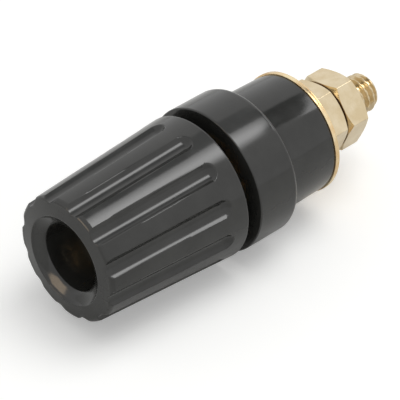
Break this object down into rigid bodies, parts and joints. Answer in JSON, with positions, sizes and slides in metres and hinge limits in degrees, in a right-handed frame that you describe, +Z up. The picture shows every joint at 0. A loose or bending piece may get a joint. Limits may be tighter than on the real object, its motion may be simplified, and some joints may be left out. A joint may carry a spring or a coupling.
{
  "type": "binding post",
  "caption": "Insulated panel binding post: a fluted screw-down knob over a plug socket and wire hole, split insulators, a washer and nuts on a threaded stud.",
  "frame": {"origin": "on the axis, where the panel's front face meets the back of the front insulator", "axes": "+Y along the axis towards the terminal stud, -Y towards the mouth of the knob, +Z up"},
  "size_m": [0.015, 0.0395, 0.015],
  "materials": {
    "insulation": "black moulded thermoplastic, satin gloss",
    "brass": "turned brass, bright",
    "plated_metal": "turned brass, nickel plated, pale warm sheen",
    "washer_metal": "stamped brass, thinly plated",
    "nut_metal": "turned hexagon brass, nickel plated"
  },
  "bodies": {
    "post_body": {"post": "plated_metal", "front_insulator": "insulation", "rear_insulator": "insulation", "washer": "washer_metal", "clamp_nut": "nut_metal", "terminal_nut": "nut_metal"},
    "insert_body": {"knob_insert": "brass"},
    "knob_body": {"knob": "insulation"}
  },
  "joints": [
    {"name": "knob_travel", "type": "slide", "parent": "post_body", "child": "insert_body", "axis": [0, -1, 0], "range_m": [-0.00125, 0.00375]},
    {"name": "knob_turn", "type": "hinge", "parent": "insert_body", "child": "knob_body", "pos_m": [0, -0.0146, 0], "axis": [0, -1, 0], "range_deg": [-455, 1355]}
  ],
  "couplings": [
    {"joint": "knob_turn", "follows": "knob_travel", "rad_per_m": 6283.2}
  ]
}
